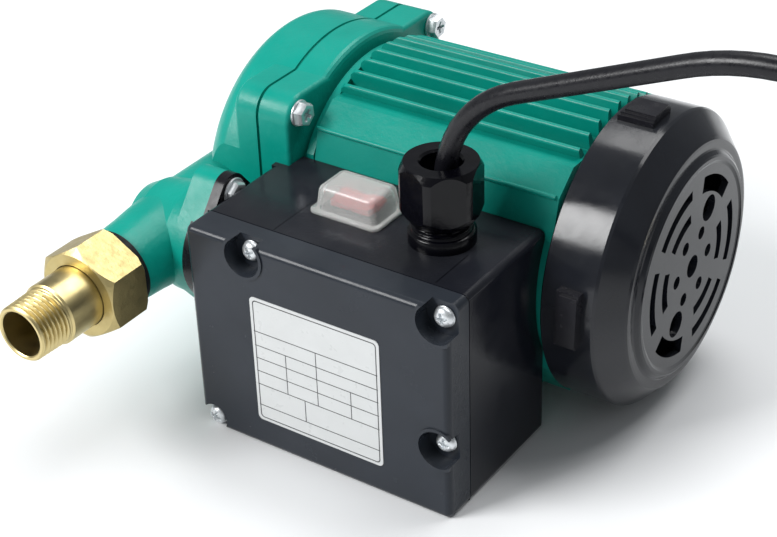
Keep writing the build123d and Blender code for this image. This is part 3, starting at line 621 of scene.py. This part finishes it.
def add_label():
    outline = rounded_rectangle(LABEL_WIDTH / 2, LABEL_HEIGHT / 2, 0.0018)
    label = add_piece("rating_plate", *plate(outline, label_matrix(0), 0.00025), "label_white", "pump", False)
    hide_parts("rating_label")
    print_matrix = label_matrix(0.00026)
    half_x, half_y, line = LABEL_WIDTH / 2, LABEL_HEIGHT / 2, 0.00014
    groups = []

    def rule(x0, x1, y0, y1):
        corners = [(x0 - line, y0 - line), (x1 + line, y0 - line),
                   (x1 + line, y1 + line), (x0 - line, y1 + line)]
        groups.append(plate(corners, print_matrix, 0.00003))
    edge = 0.0011
    outer = rounded_rectangle(half_x - edge, half_y - edge, 0.0014)
    inner = rounded_rectangle(half_x - edge - 2.4 * line, half_y - edge - 2.4 * line, 0.0012)
    groups.append(frame_plate(outer, inner, print_matrix, 0.00003))
    rows = [half_y - depth * MM for depth in LABEL_ROWS]
    for height in rows:
        rule(-half_x + edge, half_x - edge, height, height)
    for across, first, last in ((13.5, 1, 4), (26.0, 0, 4), (39.5, 2, 4), (20.5, 4, 5)):
        x = -half_x + across * MM
        rule(x, x, rows[last], rows[first])
    rules = add_piece("label_rules", *merged(groups), "lid_black", "pump", False)
    rules.data.materials.clear()
    rules.data.materials.append(surface("label_ink", (0.02, 0.02, 0.025), (0.3, 0.4), 0.8, 90, 900, 0.00001))


# ---------------------------------------------------------------- clear hood over the rocker
HOOD_X, HOOD_Y, HOOD_Z = 0.0524, -0.0626, 0.0802


def add_hood():
    """Soft clear hood: a lip on the box, leaning walls and a crowned top, with an even wall thickness."""
    outer = [(13.7, 9.7, 2.6, 0.02), (13.8, 9.8, 2.7, 0.15), (13.8, 9.8, 2.7, 1.0), (13.6, 9.6, 2.5, 1.2),
             (12.4, 8.4, 2.3, 1.25), (12.2, 8.2, 2.3, 1.5), (11.5, 7.6, 2.3, 7.4), (11.3, 7.4, 2.2, 8.3),
             (10.8, 6.9, 2.1, 9.1), (10.1, 6.2, 1.9, 9.55), (9.2, 5.4, 1.6, 9.7), (5.0, 2.6, 0.8, 9.75)]
    inner = [(4.6, 2.2, 0.6, 8.6), (8.8, 5.0, 1.2, 8.5), (9.5, 5.6, 1.5, 8.2), (9.9, 6.0, 1.6, 7.4),
             (10.7, 6.8, 1.8, 1.5), (10.9, 7.0, 1.9, 0.05)]
    steps = 8
    points, faces = [], []
    for half_x, half_y, radius, height in outer + inner:
        for x, y in rounded_rectangle(half_x, half_y, radius, steps):
            points.append((x * MM + HOOD_X, y * MM + HOOD_Y, height * MM + HOOD_Z))
    count = 4 * (steps + 1)
    rings = len(outer) + len(inner)
    for ring in range(rings):
        after = (ring + 1) % rings
        if ring == len(outer) - 1:
            continue
        for i in range(count):
            j = (i + 1) % count
            faces.append((ring * count + i, ring * count + j, after * count + j, after * count + i))
    top, under = (len(outer) - 1) * count, len(outer) * count
    faces.append(tuple(range(top, top + count)))
    faces.append(tuple(reversed(range(under, under + count))))
    hood = sharpen(add_piece("rocker_hood", points, faces, "boot_clear", "pump"), 55)
    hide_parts("switch_boot")


# ---------------------------------------------------------------- cable gland
GLAND_X, GLAND_Y = 0.086, -0.0636


def add_gland_body():
    """Gland body with the turns of its thread showing under the nut."""
    outline = [(0.0039, -0.010), (0.0100, -0.010), (0.0100, 0.0), (0.0112, 0.0), (0.0112, 0.0040),
               (0.0109, 0.0044), (0.0102, 0.0047), (0.0102, 0.0137), (0.0064, 0.0168), (0.0039, 0.0168)]
    outline = divided(outline, 0.0047, 0.0137, 0.00012)
    cut = thread_radius(0.0048, 0.0136, 0.0015, 0.0009)
    matrix = pose_along((GLAND_X, GLAND_Y, HOOD_Z), (0, 0, 1))

    def radius_at(radius, height, angle):
        if radius < 0.0101:
            return radius
        return cut(radius, height, angle)
    points, faces = lathe(outline, 96, matrix, radius_at)
    piece = sharpen(add_piece("gland_shank", points, faces, "gland_black", "pump"), 40)
    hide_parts("gland_body")


# ---------------------------------------------------------------- mould lines on the box
def add_mould_lines():
    """Fine raised lines left by the mould on the top of the box, one each side of the switch and gland."""
    top, width, height = 0.08021, 0.00024, 0.00005
    groups = []
    for x, near, far in ((0.036, -0.0875, -0.0645), (0.0985, -0.0870, -0.0680)):
        corners = [(x - width / 2, near), (x + width / 2, near), (x + width / 2, far), (x - width / 2, far)]
        groups.append(plate(corners, Matrix.Translation((0, 0, top)), height))
    add_piece("box_mould_lines", *merged(groups), "gland_black", "pump", False)


add_tailpiece()
add_lid_screws()
add_bolts()
add_label()
add_hood()
add_gland_body()
add_mould_lines()


# ---------------------------------------------------------------- floor and light
def add_floor():
    size = 6.0
    mesh = bpy.data.meshes.new("floor")
    corners = [(-size, -size, 0), (size, -size, 0), (size, size, 0), (-size, size, 0)]
    mesh.from_pydata(corners, [], [(0, 1, 2, 3)])
    floor = bpy.data.objects.new("floor", mesh)
    bpy.context.scene.collection.objects.link(floor)
    mesh.materials.append(surface("studio_paper", (0.90, 0.91, 0.92), (0.5, 0.6), 0.99, 3, 300, 0.00001))


def add_softbox(name, place, target, size, watts, colour=(1, 1, 1)):
    data = bpy.data.lights.new(name, "AREA")
    data.shape = "RECTANGLE"
    data.size, data.size_y = size
    data.energy = watts
    data.color = colour
    light = bpy.data.objects.new(name, data)
    bpy.context.scene.collection.objects.link(light)
    aim = Vector(target) - Vector(place)
    light.matrix_world = Matrix.Translation(place) @ aim.to_track_quat("-Z", "Y").to_matrix().to_4x4()


def add_world():
    world = bpy.data.worlds.new("studio")
    world.use_nodes = True
    background = world.node_tree.nodes["Background"]
    background.inputs["Color"].default_value = (0.93, 0.97, 1.0, 1)
    background.inputs["Strength"].default_value = 0.26
    bpy.context.scene.world = world


add_floor()
add_world()
add_softbox("key_left", (-0.65, -1.0, 0.95), (0.03, -0.02, 0.05), (0.65, 0.65), 22)
add_softbox("top_back", (0.15, 0.55, 1.3), (0.05, 0, 0.05), (1.3, 0.7), 15)
bpy.context.scene.view_settings.view_transform = "Standard"
